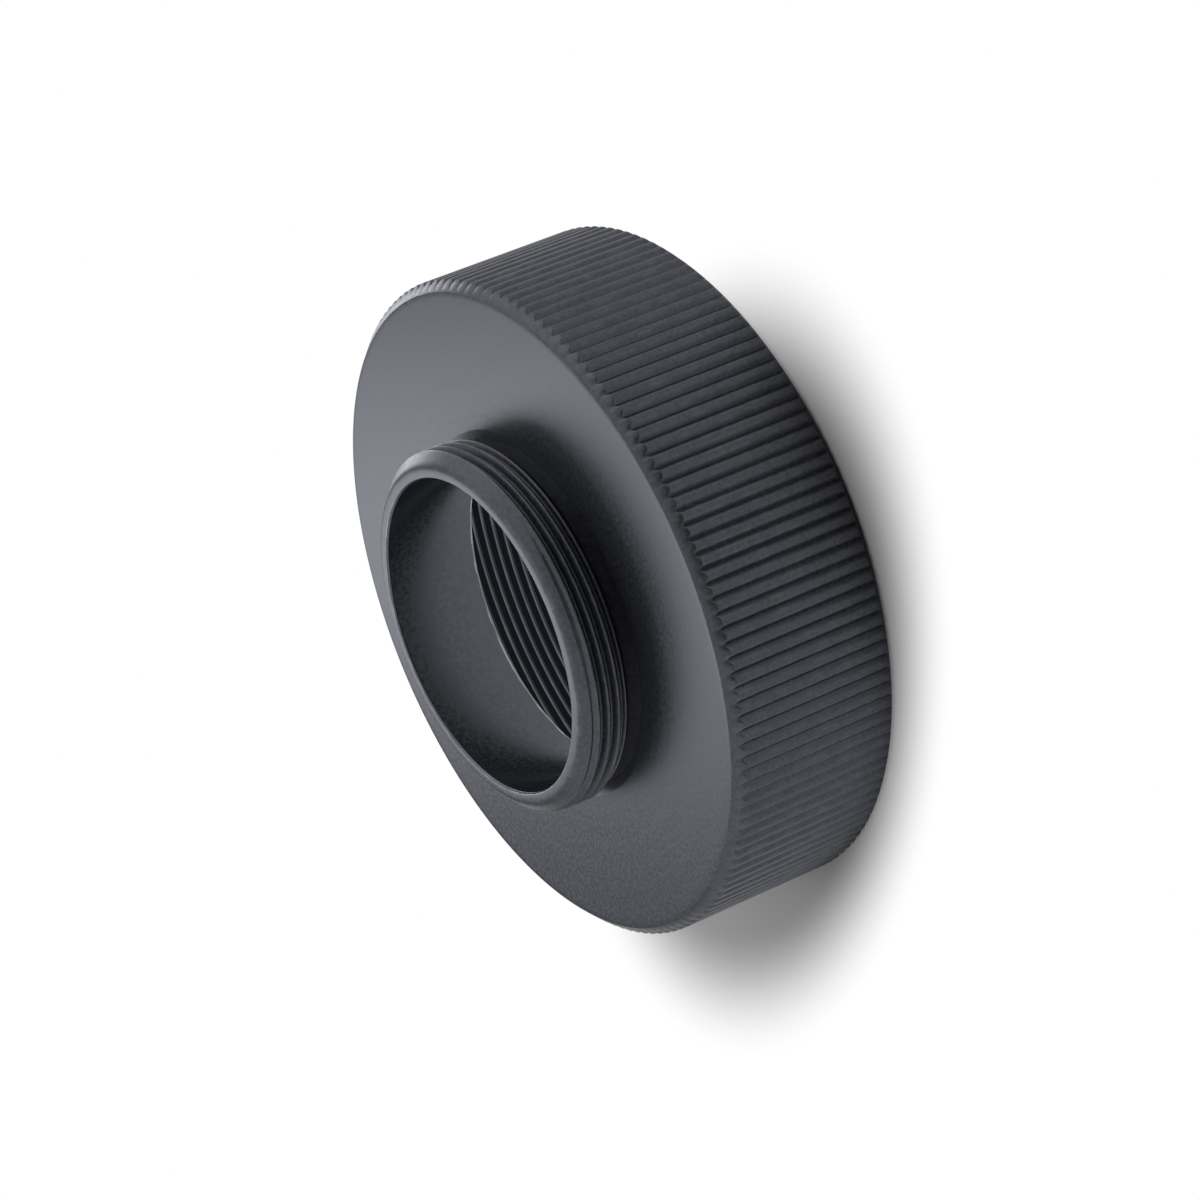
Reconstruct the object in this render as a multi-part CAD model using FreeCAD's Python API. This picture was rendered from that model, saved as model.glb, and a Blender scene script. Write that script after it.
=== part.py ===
import FreeCAD
import Part

import math
import os

# A short camera adapter, turned in one piece from aluminium bar: a knurled ring with a female T-thread
# socket in its rear face, and a threaded nose on its front shoulder. All lengths are millimetres.
# The rear face lies on z = 0, centred on the origin, and the nose points along +Z.

# Rear socket, a female T-thread of 42 mm by 0.75 mm, whose wall stands at the thread's minor diameter
socket_thread_diameter = 42.0
socket_thread_pitch = 0.75
socket_mouth_chamfer = 0.5
socket_relief_floor = 0.7
socket_relief_clearance = 0.2

# Ring
body_length = 12.5
rim_wall = 2.0
web_thickness = 2.5
front_chamfer = 0.7
rear_chamfer = 0.4

# Straight knurl round the ring
groove_count = 144
groove_depth = 0.28
groove_angle = 90.0

# Nose, a male thread of 1 inch by 32 turns to the inch, whose wall stands at the thread's major diameter
nose_thread_diameter = 25.4
nose_thread_pitch = 25.4 / 32
nose_length = 4.5
nose_wall = 1.75
nose_lead_chamfer = 0.9
nose_relief_floor = 0.95
nose_relief_clearance = 0.1

# Relief in the shoulder at the foot of the nose, wider than the thread, so that a flange seats flat
shoulder_relief_depth = 0.15
shoulder_relief_clearance = 0.15

# Edges that the turning tool leaves
bore_front_chamfer = 0.12
bore_rear_chamfer = 0.25
socket_relief_corner = 0.2

# How far a cutting tool starts and ends outside the metal
tool_overrun = 1.0

# Height of a sharp 60 degree thread for one unit of pitch, and the shares of it that the metal keeps
thread_height = math.sqrt(3.0) / 2.0
internal_thread_share = 5.0 / 8.0
external_thread_share = 17.0 / 24.0

socket_thread_depth = internal_thread_share * thread_height * socket_thread_pitch
socket_radius = socket_thread_diameter / 2.0 - socket_thread_depth
socket_relief_radius = socket_thread_diameter / 2.0 + socket_relief_clearance
socket_depth = body_length - web_thickness

nose_thread_depth = external_thread_share * thread_height * nose_thread_pitch
nose_radius = nose_thread_diameter / 2.0
nose_relief_radius = nose_radius - nose_thread_depth - nose_relief_clearance
nose_end = body_length + nose_length

bore_radius = nose_radius - nose_wall
rim_radius = socket_thread_diameter / 2.0 + rim_wall


def section_face(corners):
    """Flat half section in the XZ plane, from its corners as (radius, height)."""
    points = [FreeCAD.Vector(radius, 0.0, height) for radius, height in corners]
    return Part.Face(Part.makePolygon(points + points[:1]))


def turned_blank():
    """Ring, nose, bore and socket, as they leave the lathe before the rim is knurled."""
    nose_relief_bottom = body_length - shoulder_relief_depth
    nose_relief_top = nose_relief_bottom + nose_relief_floor
    nose_thread_start = nose_relief_top + nose_radius - nose_relief_radius
    socket_relief_bottom = socket_depth - socket_relief_corner - socket_relief_floor
    socket_thread_end = socket_relief_bottom - (socket_relief_radius - socket_radius)
    rear_face_and_rim = [
        (socket_radius + socket_mouth_chamfer, 0.0),
        (rim_radius - rear_chamfer, 0.0),
        (rim_radius, rear_chamfer),
        (rim_radius, body_length - front_chamfer),
        (rim_radius - front_chamfer, body_length),
    ]
    nose = [
        (nose_radius + shoulder_relief_clearance, body_length),
        (nose_relief_radius, nose_relief_bottom),
        (nose_relief_radius, nose_relief_top),
        (nose_radius, nose_thread_start),
        (nose_radius, nose_end - nose_lead_chamfer),
        (nose_radius - nose_lead_chamfer, nose_end),
    ]
    bore = [
        (bore_radius + bore_front_chamfer, nose_end),
        (bore_radius, nose_end - bore_front_chamfer),
        (bore_radius, socket_depth + bore_rear_chamfer),
        (bore_radius + bore_rear_chamfer, socket_depth),
    ]
    socket = [
        (socket_relief_radius - socket_relief_corner, socket_depth),
        (socket_relief_radius, socket_depth - socket_relief_corner),
        (socket_relief_radius, socket_relief_bottom),
        (socket_radius, socket_thread_end),
        (socket_radius, socket_mouth_chamfer),
    ]
    section = section_face(rear_face_and_rim + nose + bore + socket)
    return section.revolve(FreeCAD.Vector(0, 0, 0), FreeCAD.Vector(0, 0, 1), 360)


def knurl_cutters():
    """A V-shaped bar for each groove, longer than the ring, so that the grooves run out in its chamfers."""
    half_width = (groove_depth + tool_overrun) * math.tan(math.radians(groove_angle / 2.0))
    outside = rim_radius + tool_overrun
    triangle = [
        FreeCAD.Vector(rim_radius - groove_depth, 0, -tool_overrun),
        FreeCAD.Vector(outside, half_width, -tool_overrun),
        FreeCAD.Vector(outside, -half_width, -tool_overrun),
    ]
    face = Part.Face(Part.makePolygon(triangle + triangle[:1]))
    bar = face.extrude(FreeCAD.Vector(0, 0, body_length + 2 * tool_overrun))

    # Half a step of turn puts a crest, not a groove, where the turned surfaces close on themselves.
    step = 360.0 / groove_count
    centre = FreeCAD.Vector(0, 0, 0)
    upward = FreeCAD.Vector(0, 0, 1)
    return [bar.rotated(centre, upward, (index + 0.5) * step) for index in range(groove_count)]


def adapter_body():
    return turned_blank().cut(knurl_cutters()).Solids[0]


os.makedirs("parts", exist_ok=True)
adapter_body().exportStep("parts/adapter_body.step")
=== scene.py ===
import math
import random

import bmesh
import bpy
from mathutils import Matrix, Vector


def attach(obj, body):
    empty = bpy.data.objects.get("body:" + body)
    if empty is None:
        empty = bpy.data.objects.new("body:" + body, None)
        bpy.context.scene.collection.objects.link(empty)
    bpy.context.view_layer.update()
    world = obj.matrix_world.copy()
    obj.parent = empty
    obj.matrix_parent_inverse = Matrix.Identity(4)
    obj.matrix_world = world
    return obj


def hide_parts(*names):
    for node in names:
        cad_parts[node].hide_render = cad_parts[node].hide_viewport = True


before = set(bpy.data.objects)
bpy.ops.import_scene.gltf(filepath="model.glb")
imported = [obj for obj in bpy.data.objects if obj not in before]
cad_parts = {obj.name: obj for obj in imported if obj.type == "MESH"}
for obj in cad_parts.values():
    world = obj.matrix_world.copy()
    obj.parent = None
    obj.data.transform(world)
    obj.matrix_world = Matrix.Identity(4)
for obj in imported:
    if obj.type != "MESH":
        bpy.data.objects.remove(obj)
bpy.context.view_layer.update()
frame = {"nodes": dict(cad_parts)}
print("frame loaded:", ", ".join(frame["nodes"]))

scene = bpy.context.scene
mm = 0.001
fullTurn = 2 * math.pi


# camera, where the photo was taken from; the part stands on its rear face here, so the camera is rolled
photoView = {
    "eye": (-0.82627, -284.79885, 154.2768),  # mm
    "tiltDown": 27.26176,
    "roll": -112.28047,
    "lens": 144.3053,
    "sensorWidth": 36,
    "clip": (0.01, 20),  # metres
}


def makeCamera():
    data = bpy.data.cameras.new("photoCamera")
    data.lens = photoView["lens"]
    data.sensor_width = photoView["sensorWidth"]
    data.clip_start, data.clip_end = photoView["clip"]
    camera = bpy.data.objects.new("photoCamera", data)
    scene.collection.objects.link(camera)
    lookDown = Matrix.Rotation(math.radians(90 - photoView["tiltDown"]), 4, "X")
    roll = Matrix.Rotation(math.radians(photoView["roll"]), 4, "Z")
    camera.matrix_world = Matrix.Translation(Vector(photoView["eye"]) * mm) @ lookDown @ roll
    scene.camera = camera


makeCamera()
print("camera placed")


# the turned body, millimetres as in the CAD
body = {
    "rimRadius": 23.0,
    "length": 12.5,
    "frontChamfer": 0.7,
    "rearChamfer": 0.4,
    "webThickness": 2.5,
    "noseRadius": 12.7,
    "noseLength": 4.5,
    "noseChamfer": 0.9,
    "noseRelief": {"radius": 12.113, "floor": 0.95, "dip": 0.15, "outside": 12.85, "softness": 0.01},
    "boreRadius": 10.95,
    "boreFrontChamfer": 0.12,
    "boreRearChamfer": 0.25,
    "socketRadius": 20.594,
    "socketChamfer": 0.5,
    "socketRelief": {"radius": 21.2, "floor": 0.7, "corner": 0.2},
    "softEdge": 0.05,  # how far a corner's rounding reaches
    "softSteps": 3,
    "lipSoftness": 0.3,
    "lipWear": 4.0,  # how many times more than other edges this one is rubbed
    # the bore's inner end gets the pale edge colour in full, a painted highlight
    "boreEndHighlight": 25.0,
    "columns": 288,
    "joinWidth": 0.4,  # band on a flat face where the knurl's fine columns join the plain ones
}

# straight grooves round the rim
knurl = {
    "grooves": 144,
    "depth": 0.28,
    "edgeBreak": 0.06,
    "edgeLine": [(1.0, 0.08, 0.3), (-0.4, 0.7, 0.7), (-1.6, 1.7, 0.3)],  # out, down (edge breaks), rub
    "landShare": 0.3,  # how far out on the land its column stands
    "bottomWidth": 0.02,
    "bottomLift": 1.4,  # how far the floor stands above the V's point, in half its own width
    "runOutEdge": 0.03,
    "runOutReach": 4,  # how far the rub of a groove's end goes along it, in run-out edges
    "runOutRub": 0.6,
    "faceCorner": (0.15, 0.7),  # middle and end of the rounding from face to chamfer, in soft edges
    "unevenness": 0.012,
    "seed": 7,
}

# rows are the phase and the share of depth along one pitch, from a crest to the next
# the crest height is where a crest stands at angle 0
noseThread = {
    "pitch": 0.79375,
    "depth": 0.487,
    "crestHeight": 15.404,
    "runOut": (15.9, 16.5, 0.4),  # from the first height to the second, the depth falls to this share
    "ends": (0.06, 0.04),  # starts this far above its relief, and goes this far past its depth in the chamfer
    "rows": [(0.040, 0.0), (0.080, 0.06), (0.165, 0.32), (0.250, 0.57), (0.335, 0.82),
             (0.395, 0.97), (0.440, 1.0), (0.560, 1.0), (0.605, 0.97),
             (0.665, 0.82), (0.750, 0.57), (0.835, 0.32), (0.920, 0.06), (0.960, 0.0)],
}
socketThread = {
    "pitch": 0.75,
    "depth": 0.406,
    "crestHeight": 0.0375,
    "runOut": (8.0, 8.4, 0.8),
    "ends": (0.06, 0.15),  # starts this far inside the mouth, and ends this far short of its relief
    "rows": [(0.090, 0.0), (0.122, 0.018), (0.155, 0.09), (0.290, 0.53), (0.405, 0.90), (0.445, 0.98),
             (0.555, 0.98), (0.595, 0.90), (0.710, 0.53), (0.845, 0.09), (0.878, 0.018), (0.910, 0.0)],
}
threadEdge = {
    "blend": 0.04,  # how softly the turns pass into a chamfer or a relief
    "rubFall": 12,  # how fast a crest's rub fades down its sides
}


def addPoint(mesh, angle, radius, height, rub):
    point = mesh.verts.new((radius * math.cos(angle) * mm, radius * math.sin(angle) * mm, height * mm))
    point[mesh.verts.layers.float["edgeRubAndHighlight"]] = rub
    return point


def plainRing(mesh, radius, height, rub=0.0):
    count = body["columns"]
    return [addPoint(mesh, fullTurn * index / count, radius, height, rub) for index in range(count)]


def addStrip(mesh, first, second):
    for index in range(len(first)):
        after = (index + 1) % len(first)
        mesh.faces.new((first[index], first[after], second[after], second[index]))


def addStep(mesh, coarse, fine):
    # joins a ring to one with a whole number of times more points
    share = len(fine) // len(coarse)
    for index in range(len(coarse)):
        run = [fine[(index * share + step) % len(fine)] for step in range(share + 1)]
        mesh.faces.new([coarse[(index + 1) % len(coarse)], coarse[index]] + run)


def softLine(corners):
    # corners are (radius, height), some with a softness and an edge weight of their own, which is wear, and
    # at the bore's inner end a painted highlight; inner ones are rounded
    points = []
    steps = body["softSteps"]
    for before, corner, after in zip(corners, corners[1:], corners[2:]):
        here = Vector(corner[:2])
        soft = corner[2] if len(corner) > 2 else body["softEdge"]
        wearAndHighlight = corner[3] if len(corner) > 3 else 1.0
        start = here + (Vector(before[:2]) - here).normalized() * soft
        end = here + (Vector(after[:2]) - here).normalized() * soft
        for index in range(steps + 1):
            t = index / steps
            spot = start * (1 - t) ** 2 + here * 2 * t * (1 - t) + end * t ** 2
            points.append((spot.x, spot.y, wearAndHighlight * (1 - abs(2 * t - 1))))
    return points


def addTurned(mesh, firstRing, firstPoint, corners, lastPoint, lastRing):
    # a turned surface between two rings that are already there
    ring = firstRing
    for radius, height, rub in softLine([firstPoint] + corners + [lastPoint]):
        nextRing = plainRing(mesh, radius, height, rub)
        addStrip(mesh, ring, nextRing)
        ring = nextRing
    addStrip(mesh, ring, lastRing)


def softLower(first, second, blend):
    overlap = max(blend - abs(first - second), 0) / blend
    return min(first, second) - overlap * overlap * blend / 4


def addThread(mesh, thread, crestRadius, inward, limitAt, low, high):
    # rows follow the helix, and one that leaves the band ends on the plain ring there
    count, rows, pitch, blend = body["columns"], thread["rows"], thread["pitch"], threadEdge["blend"]
    runLow, runHigh, runShare = thread["runOut"]
    side = -1 if inward else 1
    lowRing = plainRing(mesh, limitAt(low), low)
    highRing = plainRing(mesh, limitAt(high), high)
    turnsBelow = math.floor((low - 2 * pitch - thread["crestHeight"]) / pitch)
    start = thread["crestHeight"] + pitch * turnsBelow
    turns = math.ceil((high - start) / pitch) + 1
    made = {}

    def pointAt(row, column):
        if column == count:
            row, column = row + len(rows), 0
        phase, share = rows[row % len(rows)]
        height = start + pitch * (row // len(rows) + phase + column / count)
        if height < low + blend / 2:
            return lowRing[column]
        if height > high - blend / 2:
            return highRing[column]
        if (row, column) not in made:
            outShare = min(max((height - runLow) / (runHigh - runLow), 0), 1)
            wall = crestRadius * side - share * thread["depth"] * (1 - outShare * (1 - runShare))
            radius = side * softLower(wall, side * limitAt(height), blend)
            rub = max(0.0, 1 - share * threadEdge["rubFall"])
            made[row, column] = addPoint(mesh, fullTurn * column / count, radius, height, rub)
        return made[row, column]

    for row in range(turns * len(rows)):
        for column in range(count):
            around = ((row, column), (row, column + 1), (row + 1, column + 1), (row + 1, column))
            corners = list(dict.fromkeys(pointAt(*place) for place in around))
            if len(corners) > 2:
                mesh.faces.new(corners)
    return lowRing, highRing


def knurlColumns():
    # angle, depth below the rim and rub of each column: a groove with a broken edge each side, then the land
    random.seed(knurl["seed"])
    half, edge, bottom = knurl["depth"], knurl["edgeBreak"], knurl["bottomWidth"] / 2
    land = fullTurn * body["rimRadius"] / knurl["grooves"] - 2 * half
    columns = []
    for groove in range(knurl["grooves"]):
        centre = fullTurn * (groove + 0.5) / knurl["grooves"]
        floor = half - bottom * knurl["bottomLift"] - random.uniform(0, knurl["unevenness"])
        side = [(half + land * knurl["landShare"], 0.0, 0.0)]
        side += [(half + edge * out, edge * down, rub) for out, down, rub in knurl["edgeLine"]]
        side += [(bottom, floor, 0.0)]
        columns += [(centre - away / body["rimRadius"], depth, rub) for away, depth, rub in side]
        columns += [(centre + away / body["rimRadius"], depth, rub) for away, depth, rub in reversed(side)]
    return columns


def addKnurl(mesh):
    # from the rear face over the rim to the front face; the grooves run out in both chamfers
    columns = knurlColumns()
    rim, length, soft = body["rimRadius"], body["length"], body["softEdge"]
    rear, front = rim - body["rearChamfer"], rim - body["frontChamfer"]
    edge, worn = knurl["runOutEdge"], knurl["runOutRub"]
    slant, reach = edge * math.sqrt(0.5), edge * knurl["runOutReach"]
    middle, end = (soft * share for share in knurl["faceCorner"])

    def ring(placeAt, rubAt):
        return [addPoint(mesh, angle, *placeAt(depth), rubAt(rub)) for angle, depth, rub in columns]

    rings = [
        ring(lambda depth: (rear - soft, 0.0), lambda rub: 0.0),
        ring(lambda depth: (rear - middle, middle), lambda rub: 1.0),
        ring(lambda depth: (rear + end, end), lambda rub: 0.0),
        ring(lambda depth: (rim - depth - slant, rim - depth - rear - slant), lambda rub: worn),
        ring(lambda depth: (rim - depth, rim - depth - rear + edge), lambda rub: max(rub, worn)),
        ring(lambda depth: (rim - depth, rim - depth - rear + reach), lambda rub: rub),
        ring(lambda depth: (rim - depth, length - (rim - depth - front) - reach), lambda rub: rub),
        ring(lambda depth: (rim - depth, length - (rim - depth - front) - edge), lambda rub: max(rub, worn)),
        ring(lambda depth: (rim - depth - slant, length - (rim - depth - front) + slant), lambda rub: worn),
        ring(lambda depth: (front + end, length - end), lambda rub: 0.0),
        ring(lambda depth: (front - middle, length - middle), lambda rub: 1.0),
        ring(lambda depth: (front - soft, length), lambda rub: 0.0),
    ]
    for lower, upper in zip(rings, rings[1:]):
        addStrip(mesh, lower, upper)
    return rings[0], rings[-1]


def noseLimit(height):
    # the nose's thread ends in its relief below and in the lead chamfer above
    relief, end = body["noseRelief"], body["length"] + body["noseLength"]
    fromRelief = relief["radius"] + height - (body["length"] - relief["dip"] + relief["floor"])
    return min(fromRelief, body["noseRadius"] - body["noseChamfer"] + end - height)


def socketLimit(height):
    # the socket's thread ends in the mouth's chamfer below and in its relief above
    relief, webUnder = body["socketRelief"], body["length"] - body["webThickness"]
    fromRelief = relief["radius"] + height - (webUnder - relief["corner"] - relief["floor"])
    return max(fromRelief, body["socketRadius"] + body["socketChamfer"] - height)


def makeBody():
    mesh = bmesh.new()
    mesh.verts.layers.float.new("edgeRubAndHighlight")
    length, noseEnd = body["length"], body["length"] + body["noseLength"]
    webUnder = length - body["webThickness"]
    relief, deep = body["noseRelief"], body["socketRelief"]
    nose, bore, socket = body["noseRadius"], body["boreRadius"], body["socketRadius"]
    soft = body["softEdge"]

    # the rim, and the front face in to the nose's thread
    rearFine, frontFine = addKnurl(mesh)
    faceOut = body["rimRadius"] - body["frontChamfer"] - body["joinWidth"]
    faceRing = plainRing(mesh, faceOut, length)
    addStep(mesh, faceRing, frontFine)
    aboveRelief, pastDepth = noseThread["ends"]
    threadLow = length - relief["dip"] + relief["floor"] + aboveRelief
    threadHigh = noseEnd - body["noseChamfer"] + noseThread["depth"] + pastDepth
    noseLow, noseHigh = addThread(mesh, noseThread, nose, False, noseLimit, threadLow, threadHigh)
    addTurned(mesh, faceRing, (faceOut, length), [
        (relief["outside"], length),
        (relief["radius"], length - relief["dip"], relief["softness"]),
        (relief["radius"], threadLow - aboveRelief),
    ], (noseLimit(threadLow), threadLow), noseLow)

    # the nose's end, the bore and the web, down to the socket's thread
    socketLow, beforeRelief = socketThread["ends"]
    socketHigh = webUnder - deep["corner"] - deep["floor"] - beforeRelief
    lowRing, highRing = addThread(mesh, socketThread, socket, True, socketLimit, socketLow, socketHigh)
    addTurned(mesh, noseHigh, (noseLimit(threadHigh), threadHigh), [
        (nose - body["noseChamfer"], noseEnd, body["lipSoftness"]),
        (bore + body["boreFrontChamfer"], noseEnd, soft, body["lipWear"]),
        (bore, noseEnd - body["boreFrontChamfer"]),
        # the bore's inner edge is painted bright, a painted highlight
        (bore, webUnder + body["boreRearChamfer"], soft, body["boreEndHighlight"]),
        (bore + body["boreRearChamfer"], webUnder, soft, body["boreEndHighlight"]),
        (deep["radius"] - deep["corner"], webUnder),
        (deep["radius"], webUnder - deep["corner"]),
        (deep["radius"], webUnder - deep["corner"] - deep["floor"]),
    ], (socketLimit(socketHigh), socketHigh), highRing)

    # the socket's mouth and the rear face, out to the rim
    rearOut = body["rimRadius"] - body["rearChamfer"] - body["joinWidth"]
    rearRing = plainRing(mesh, rearOut, 0.0)
    mouth = [(socket + body["socketChamfer"], 0.0)]
    addTurned(mesh, lowRing, (socketLimit(socketLow), socketLow), mouth, (rearOut, 0.0), rearRing)
    addStep(mesh, rearRing, rearFine)

    bmesh.ops.recalc_face_normals(mesh, faces=mesh.faces)
    data = bpy.data.meshes.new("adapterTurned")
    mesh.to_mesh(data)
    mesh.free()
    data.shade_smooth()
    piece = bpy.data.objects.new("adapterTurned", data)
    scene.collection.objects.link(piece)
    piece.modifiers.new("evenNormals", "WEIGHTED_NORMAL")
    return piece


adapter = makeBody()
print("body turned:", len(adapter.data.vertices), "points,", len(adapter.data.polygons), "faces")


# shader nodes
def newNode(tree, kind, **settings):
    node = tree.nodes.new(kind)
    for name, value in settings.items():
        setattr(node, name, value)
    return node


def feed(tree, socket, value):
    # a number or a colour is set on the socket, and another node's output is linked to it
    if isinstance(value, (int, float)):
        socket.default_value = value
    elif isinstance(value, tuple):
        socket.default_value = (*value, 1)
    else:
        tree.links.new(value, socket)


def mathNode(tree, operation, first, second):
    node = newNode(tree, "ShaderNodeMath", operation=operation)
    for socket, value in zip(node.inputs, (first, second)):
        feed(tree, socket, value)
    return node.outputs[0]


def rangeNode(tree, value, low, high, start=0.0, end=1.0):
    node = newNode(tree, "ShaderNodeMapRange", interpolation_type="SMOOTHSTEP")
    names = ("Value", "From Min", "From Max", "To Min", "To Max")
    for name, given in zip(names, (value, low, high, start, end)):
        feed(tree, node.inputs[name], given)
    return node.outputs[0]


def noiseNode(tree, scale, detail, place=None, along=None):
    # noise over the surface, or along one value
    node = newNode(tree, "ShaderNodeTexNoise", noise_dimensions="3D" if along is None else "1D")
    tree.links.new(place or along, node.inputs["Vector" if along is None else "W"])
    feed(tree, node.inputs["Scale"], scale)
    feed(tree, node.inputs["Detail"], detail)
    return node.outputs[0]


def radiusNode(tree, place):
    flat = newNode(tree, "ShaderNodeVectorMath", operation="MULTIPLY")
    flat.inputs[1].default_value = (1, 1, 0)
    tree.links.new(place, flat.inputs[0])
    length = newNode(tree, "ShaderNodeVectorMath", operation="LENGTH")
    tree.links.new(flat.outputs[0], length.inputs[0])
    return length.outputs["Value"]


def heightNode(tree, place):
    parts = newNode(tree, "ShaderNodeSeparateXYZ")
    tree.links.new(place, parts.inputs[0])
    return parts.outputs["Z"]


def shareNode(tree, share, first, second):
    # this share of the first value and the rest of the second
    rest = mathNode(tree, "MULTIPLY", second, 1 - share)
    return mathNode(tree, "ADD", mathNode(tree, "MULTIPLY", first, share), rest)


def mixColours(tree, share, first, second):
    node = newNode(tree, "ShaderNodeMix", data_type="RGBA")
    for socket, value in zip((node.inputs[0], node.inputs[6], node.inputs[7]), (share, first, second)):
        feed(tree, socket, value)
    return node.outputs[2]


def objectPlace(tree):
    return newNode(tree, "ShaderNodeTexCoord").outputs["Object"]


# effects that a finish is put together from, each a shader group with its own inputs
def newGroup(name, inputs, outputs):
    group = bpy.data.node_groups.new(name, "ShaderNodeTree")
    for label in inputs:
        group.interface.new_socket(label, in_out="INPUT", socket_type="NodeSocketFloat")
    for label in outputs:
        group.interface.new_socket(label, in_out="OUTPUT", socket_type="NodeSocketFloat")
    return group, newNode(group, "NodeGroupInput").outputs, newNode(group, "NodeGroupOutput").inputs


def placeGroup(tree, group, **values):
    node = newNode(tree, "ShaderNodeGroup", node_tree=group)
    for label, value in values.items():
        feed(tree, node.inputs[label], value)
    return node.outputs


# rings that the lathe tool leaves, across the radius on a flat face and along the axis on a wall
markForm = {"axisShare": 0.7, "detail": 2.0, "toneScale": 0.12, "toneDetail": 3.0}


def makeTurningMarks():
    group, given, out = newGroup("turningMarks", ["Spacing"], ["Height", "Tone"])
    place = objectPlace(group)
    axis = mathNode(group, "MULTIPLY", heightNode(group, place), markForm["axisShare"])
    along = mathNode(group, "ADD", radiusNode(group, place), axis)
    along = mathNode(group, "DIVIDE", along, given["Spacing"])
    group.links.new(noiseNode(group, 1.0, markForm["detail"], along=along), out["Height"])
    group.links.new(noiseNode(group, markForm["toneScale"], markForm["toneDetail"], along=along), out["Tone"])
    return group


# the etched grain under the dye, a soft mottle with a fine tooth in it
grainForm = {"detail": 2.0, "toothFineness": 3.1, "toothShare": 0.45, "toneLimits": (0.3, 0.7)}


def makeAnodiseGrain():
    group, given, out = newGroup("anodiseGrain", ["Fineness"], ["Height", "Tone"])
    place = objectPlace(group)
    finer = mathNode(group, "MULTIPLY", given["Fineness"], grainForm["toothFineness"])
    mottle = noiseNode(group, given["Fineness"], grainForm["detail"], place=place)
    tooth = noiseNode(group, finer, grainForm["detail"], place=place)
    group.links.new(shareNode(group, grainForm["toothShare"], tooth, mottle), out["Height"])
    group.links.new(rangeNode(group, mottle, *grainForm["toneLimits"]), out["Tone"])
    return group


# where handling has thinned the dye, and along the bore's inner end a painted highlight: broken stretches
# along the edges
rubForm = {"detail": 4.0, "limits": (0.42, 0.68)}


def makeRubbedEdges():
    group, given, out = newGroup("rubbedEdgesAndHighlight", ["Edge", "Fineness"], ["Mask"])
    noise = noiseNode(group, given["Fineness"], rubForm["detail"], place=objectPlace(group))
    broken = rangeNode(group, noise, *rubForm["limits"])
    group.links.new(mathNode(group, "MULTIPLY", given["Edge"], broken), out["Mask"])
    return group


# a few small bright specks, one in some of the cells, with a core and a soft edge
dustForm = {"smallest": 0.4, "core": 0.4}


def makeDustSpecks():
    group, given, out = newGroup("dustSpecks", ["Fineness", "Share", "Size"], ["Mask"])
    cells = newNode(group, "ShaderNodeTexVoronoi")
    group.links.new(objectPlace(group), cells.inputs["Vector"])
    group.links.new(given["Fineness"], cells.inputs["Scale"])
    pick = newNode(group, "ShaderNodeSeparateColor")
    group.links.new(cells.outputs["Color"], pick.inputs[0])
    chosen = mathNode(group, "LESS_THAN", pick.outputs[0], given["Share"])
    size = mathNode(group, "ADD", pick.outputs[1], dustForm["smallest"])
    size = mathNode(group, "MULTIPLY", given["Size"], size)
    core = mathNode(group, "MULTIPLY", size, dustForm["core"])
    speck = rangeNode(group, cells.outputs["Distance"], core, size, 1.0, 0.0)
    group.links.new(mathNode(group, "MULTIPLY", chosen, speck), out["Mask"])
    return group


turningMarks = makeTurningMarks()
anodiseGrain = makeAnodiseGrain()
rubbedEdgesAndHighlight = makeRubbedEdges()
dustSpecks = makeDustSpecks()
print("effects made")


# black anodised aluminium: a dark satin skin over fine lathe marks
blackAnodised = {
    "colour": (0.051, 0.054, 0.066),
    "paleColour": (0.080, 0.083, 0.094),
    # painted light: the bore and the socket are paler, as if lit through an open rear end
    "insidePaintedLightColour": (0.092, 0.098, 0.114),
    # pale edges: worn dye, and a painted highlight along the bore's inner end
    "rubAndHighlightColour": (0.50, 0.51, 0.53),
    "dustColour": (0.50, 0.50, 0.50),
    "metallic": 0.85,
    "glancingTint": (0.78, 0.78, 0.80),  # a porous skin shines less than bare metal at a glancing angle
    "roughness": 0.39,
    "roughnessSpread": 0.06,
    "insideRoughness": 0.20,
    "dustRoughness": 0.3,
    "grainShare": 0.7,  # of the tone, and the lathe marks have the rest
    "insideGrain": 0.12,
    "markSpacing": 0.00011,  # metres, like the depths
    "markDepth": 0.0000006,
    "grainFineness": 3600,
    "grainDepth": 0.0000009,
    "rubFineness": 700,
    "rubAndHighlightStrength": 0.08,
    "dustFineness": 420,
    "dustShare": 0.035,
    "dustSize": 0.05,
    "boreFade": (0.05, 0.2),  # mm past the bore's wall where its finish gives way to the outside's
    "socketFade": 0.2,
    "webFade": 0.05,
}


def insideMask(tree):
    # 1 in the bore and in the socket, which get a paler colour as painted light, a smoother finish and less
    # grain
    look, deep = blackAnodised, body["socketRelief"]["radius"]
    place = objectPlace(tree)
    radius = radiusNode(tree, place)
    boreEnd = body["length"] - body["webThickness"] + body["boreRearChamfer"]
    boreLimits = [(body["boreRadius"] + fade) * mm for fade in look["boreFade"]]
    inBore = rangeNode(tree, radius, *boreLimits, 1.0, 0.0)
    within = rangeNode(tree, radius, deep * mm, (deep + look["socketFade"]) * mm, 1.0, 0.0)
    below = rangeNode(tree, heightNode(tree, place), boreEnd * mm, (boreEnd + look["webFade"]) * mm, 1.0, 0.0)
    return mathNode(tree, "MAXIMUM", inBore, mathNode(tree, "MULTIPLY", within, below))


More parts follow.
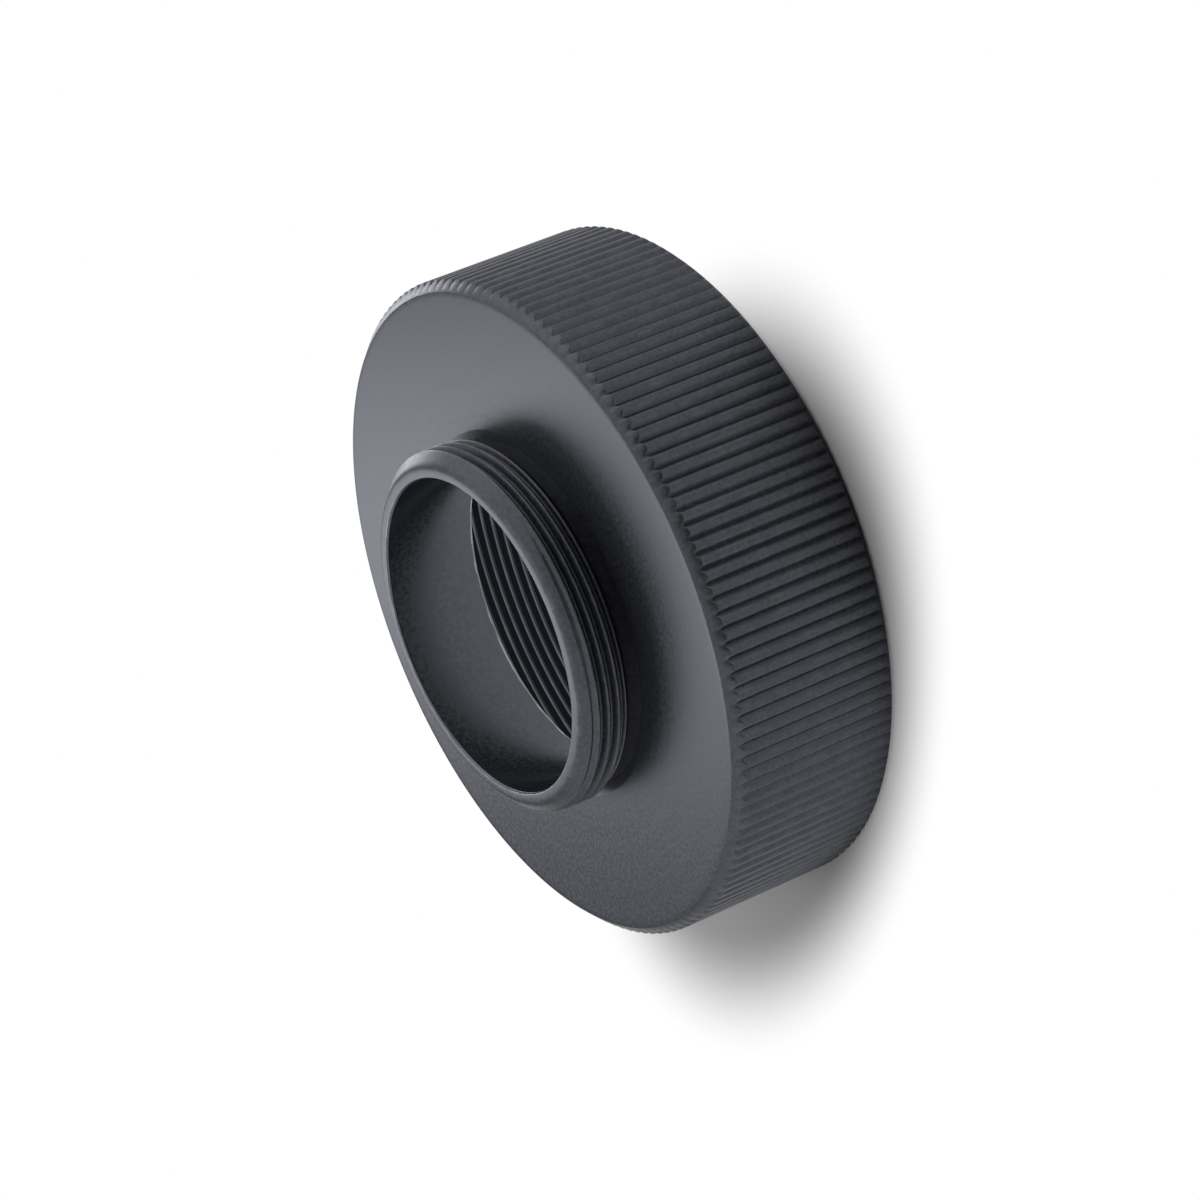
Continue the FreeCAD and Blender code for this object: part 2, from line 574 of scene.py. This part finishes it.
def makeBlackAnodised():
    look = blackAnodised
    material = bpy.data.materials.new("blackAnodised")
    material.use_nodes = True
    tree = material.node_tree
    shader = tree.nodes["Principled BSDF"]
    shader.inputs["Metallic"].default_value = look["metallic"]
    shader.inputs["Specular Tint"].default_value = (*look["glancingTint"], 1)

    edge = newNode(tree, "ShaderNodeAttribute", attribute_name="edgeRubAndHighlight").outputs["Fac"]
    marks = placeGroup(tree, turningMarks, Spacing=look["markSpacing"])
    grain = placeGroup(tree, anodiseGrain, Fineness=look["grainFineness"])
    rubAndHighlightMask = placeGroup(tree, rubbedEdgesAndHighlight, Edge=edge, Fineness=look["rubFineness"])["Mask"]
    dustValues = {"Fineness": look["dustFineness"], "Share": look["dustShare"], "Size": look["dustSize"]}
    dust = placeGroup(tree, dustSpecks, **dustValues)["Mask"]

    # the bore and the socket are paler, painted light for the light that an open rear end would let in, and
    # they are cut finer, so they shine more
    inside = insideMask(tree)
    tone = shareNode(tree, look["grainShare"], grain["Tone"], marks["Tone"])
    rubAndHighlightShare = mathNode(tree, "MULTIPLY", rubAndHighlightMask, look["rubAndHighlightStrength"])
    colour = mixColours(tree, tone, look["colour"], look["paleColour"])
    colour = mixColours(tree, inside, colour, look["insidePaintedLightColour"])
    # worn dye along the edges, and a painted highlight along the bore's inner end
    colour = mixColours(tree, rubAndHighlightShare, colour, look["rubAndHighlightColour"])
    colour = mixColours(tree, dust, colour, look["dustColour"])
    tree.links.new(colour, shader.inputs["Base Color"])

    rough = mathNode(tree, "MULTIPLY", inside, look["insideRoughness"] - look["roughness"])
    rough = mathNode(tree, "ADD", rough, look["roughness"])
    spread = mathNode(tree, "MULTIPLY", mathNode(tree, "SUBTRACT", tone, 0.5), 2 * look["roughnessSpread"])
    rough = mathNode(tree, "ADD", rough, spread)
    rough = mathNode(tree, "ADD", rough, mathNode(tree, "MULTIPLY", dust, look["dustRoughness"]))
    tree.links.new(rough, shader.inputs["Roughness"])

    grainLeft = rangeNode(tree, inside, 0.0, 1.0, 1.0, look["insideGrain"])
    grainHeight = mathNode(tree, "MULTIPLY", grain["Height"], grainLeft)
    normal = None
    for height, depth in ((marks["Height"], look["markDepth"]), (grainHeight, look["grainDepth"])):
        bump = newNode(tree, "ShaderNodeBump")
        bump.inputs["Distance"].default_value = depth
        tree.links.new(height, bump.inputs["Height"])
        if normal:
            tree.links.new(normal, bump.inputs["Normal"])
        normal = bump.outputs[0]
    tree.links.new(normal, shader.inputs["Normal"])
    return material


adapter.data.materials.append(makeBlackAnodised())
print("finish made")

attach(adapter, "root")
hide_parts("adapter_body")


# studio: a white floor under the part with a painted shadow round it, an even room and soft lamps; lengths in
# mm
studio = {
    # the floor's grey colour, shown only near the part, paints a shadow there
    "paintedShadowFloorColour": (0.28, 0.28, 0.28),
    "floorRadius": 3000,
    "floorSides": 64,
    "floorGap": 0.02,
    "shadowMiddle": (-9, 0),  # painted shadow: in an oval round the part the floor shows its grey colour and the lamps' real shadow, fading out towards its edge
    "shadowReach": (38, 20.5),
    "shadowTurn": 121,
    "shadowFade": 0.65,
    "socketWhite": (20, 22),  # the floor inside the socket is white, out to these radii
    "roomLight": 1.1,
    "backEnd": {"light": 0.3, "width": (58, 28)},  # dims between these angles off the line beyond the part
    "cameraEnd": {"light": 0.05, "width": (67, 45)},  # and off the line back to the camera's side
    "lampAim": (0, 0, 8),
}


def makePaper():
    # paper that is plain white away from the part, to the eye and in the metal; near it, in an oval, its grey
    # colour paints a shadow, and the lamps' real shadow falls there too
    material = bpy.data.materials.new("paperWhiteWithPaintedShadow")
    material.use_nodes = True
    tree = material.node_tree
    tree.nodes.clear()
    lit = newNode(tree, "ShaderNodeBsdfDiffuse")
    lit.inputs["Color"].default_value = (*studio["paintedShadowFloorColour"], 1)
    white = newNode(tree, "ShaderNodeEmission")
    white.inputs["Strength"].default_value = 1.0

    place = objectPlace(tree)
    oval = newNode(tree, "ShaderNodeMapping", vector_type="TEXTURE")
    oval.inputs["Location"].default_value = Vector((*studio["shadowMiddle"], 0)) * mm
    oval.inputs["Rotation"].default_value = (0, 0, math.radians(studio["shadowTurn"]))
    oval.inputs["Scale"].default_value = Vector((*studio["shadowReach"], 1)) * mm
    tree.links.new(place, oval.inputs["Vector"])
    outside = rangeNode(tree, radiusNode(tree, oval.outputs[0]), studio["shadowFade"], 1.0)
    socketLimits = [radius * mm for radius in studio["socketWhite"]]
    inside = rangeNode(tree, radiusNode(tree, place), *socketLimits, 1.0, 0.0)

    ray = newNode(tree, "ShaderNodeLightPath")
    seen = mathNode(tree, "MAXIMUM", ray.outputs["Is Camera Ray"], ray.outputs["Is Glossy Ray"])
    seen = mathNode(tree, "MAXIMUM", seen, ray.outputs["Is Transmission Ray"])
    share = mathNode(tree, "MULTIPLY", seen, mathNode(tree, "MAXIMUM", outside, inside))
    mix = newNode(tree, "ShaderNodeMixShader")
    tree.links.new(share, mix.inputs[0])
    tree.links.new(lit.outputs[0], mix.inputs[1])
    tree.links.new(white.outputs[0], mix.inputs[2])
    tree.links.new(mix.outputs[0], newNode(tree, "ShaderNodeOutputMaterial").inputs["Surface"])
    return material


def makeFloor():
    mesh = bmesh.new()
    radius = studio["floorRadius"] * mm
    bmesh.ops.create_circle(mesh, cap_ends=True, radius=radius, segments=studio["floorSides"])
    data = bpy.data.meshes.new("floor")
    mesh.to_mesh(data)
    mesh.free()
    data.materials.append(makePaper())
    floor = bpy.data.objects.new("floor", data)
    floor.location.z = -studio["floorGap"] * mm
    scene.collection.objects.link(floor)


def makeWorld():
    world = bpy.data.worlds.new("room")
    scene.world = world
    world.use_nodes = True
    tree = world.node_tree
    background = tree.nodes["Background"]
    background.inputs["Color"].default_value = (1, 1, 1, 1)
    direction = newNode(tree, "ShaderNodeSeparateXYZ")
    tree.links.new(newNode(tree, "ShaderNodeTexCoord").outputs["Generated"], direction.inputs[0])
    light = studio["roomLight"]
    for side, end in ((1, studio["backEnd"]), (-1, studio["cameraEnd"])):
        limits = [math.cos(math.radians(angle)) for angle in end["width"]]
        toEnd = mathNode(tree, "MULTIPLY", direction.outputs["Y"], side)
        dimmed = rangeNode(tree, toEnd, *limits, 0.0, studio["roomLight"] - end["light"])
        light = mathNode(tree, "SUBTRACT", light, dimmed)
    tree.links.new(light, background.inputs["Strength"])


# where each lamp stands and its size (mm), its turn about its own line and how bright its face is
lamps = {
    "sidePanel": {"from": (420, 40, 240), "size": (400, 240), "turn": 0, "brightness": 0.6},
    "backPanel": {"from": (0, 75, 70), "size": (34, 92), "turn": -30, "brightness": 3.4},
    "lowPanel": {"from": (62, 75, 14), "size": (46, 24), "turn": 0, "brightness": 5.5},
}


def makeLamps():
    for name, lamp in lamps.items():
        data = bpy.data.lights.new(name, "AREA")
        data.shape = "RECTANGLE"
        data.size, data.size_y = (side * mm for side in lamp["size"])
        data.energy = lamp["brightness"] * math.pi * data.size * data.size_y  # for a face this bright
        place = Vector(lamp["from"]) * mm
        lampObject = bpy.data.objects.new(name, data)
        lampObject.visible_camera = False
        aim = (Vector(studio["lampAim"]) * mm - place).to_track_quat("-Z", "Y").to_matrix().to_4x4()
        turn = Matrix.Rotation(math.radians(lamp["turn"]), 4, "Z")
        lampObject.matrix_world = Matrix.Translation(place) @ aim @ turn
        scene.collection.objects.link(lampObject)


makeFloor()
makeWorld()
makeLamps()
scene.view_settings.view_transform = "Standard"
print("studio lit")
